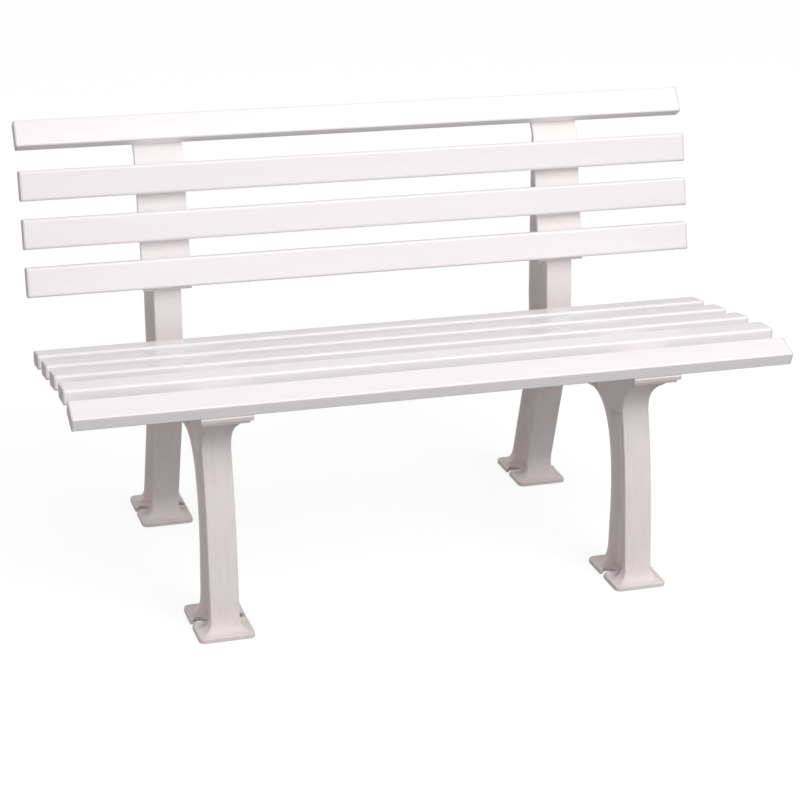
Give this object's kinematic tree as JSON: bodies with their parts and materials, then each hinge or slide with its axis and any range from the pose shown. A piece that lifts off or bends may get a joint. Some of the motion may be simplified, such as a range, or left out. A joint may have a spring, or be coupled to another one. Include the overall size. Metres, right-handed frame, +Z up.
{
  "type": "garden bench",
  "caption": "Outdoor bench with a curved seat and leaning back of hollow plastic slats, on moulded side frames with flared feet.",
  "frame": {"origin": "on the ground, in the middle of the bench's overall box", "axes": "+X along the bench towards the sitter's left, +Y from the seat's front edge towards the back, +Z up"},
  "size_m": [1.2, 0.6054, 0.7423],
  "materials": {
    "slat": "smooth glossy white extruded plastic",
    "frame": "satin off-white moulded plastic",
    "cap": "smooth off-white moulded plastic",
    "screw": "plain zinc-plated steel"
  },
  "bodies": {
    "root": {"left_side_frame": "frame", "right_side_frame": "frame", "seat_slat_1": "slat", "seat_slat_2": "slat", "seat_slat_3": "slat", "seat_slat_4": "slat", "front_seat_slat": "slat", "back_slat_1": "slat", "back_slat_2": "slat", "back_slat_3": "slat", "top_back_slat": "slat", "seat_slat_1_left_cap": "cap", "seat_slat_2_left_cap": "cap", "seat_slat_3_left_cap": "cap", "seat_slat_4_left_cap": "cap", "front_seat_slat_left_cap": "cap", "back_slat_1_left_cap": "cap", "back_slat_2_left_cap": "cap", "back_slat_3_left_cap": "cap", "top_back_slat_left_cap": "cap", "seat_slat_1_right_cap": "cap", "seat_slat_2_right_cap": "cap", "seat_slat_3_right_cap": "cap", "seat_slat_4_right_cap": "cap", "front_seat_slat_right_cap": "cap", "back_slat_1_right_cap": "cap", "back_slat_2_right_cap": "cap", "back_slat_3_right_cap": "cap", "top_back_slat_right_cap": "cap", "left_seat_screws": "screw", "left_back_screws": "screw", "right_seat_screws": "screw", "right_back_screws": "screw"}
  },
  "joints": []
}
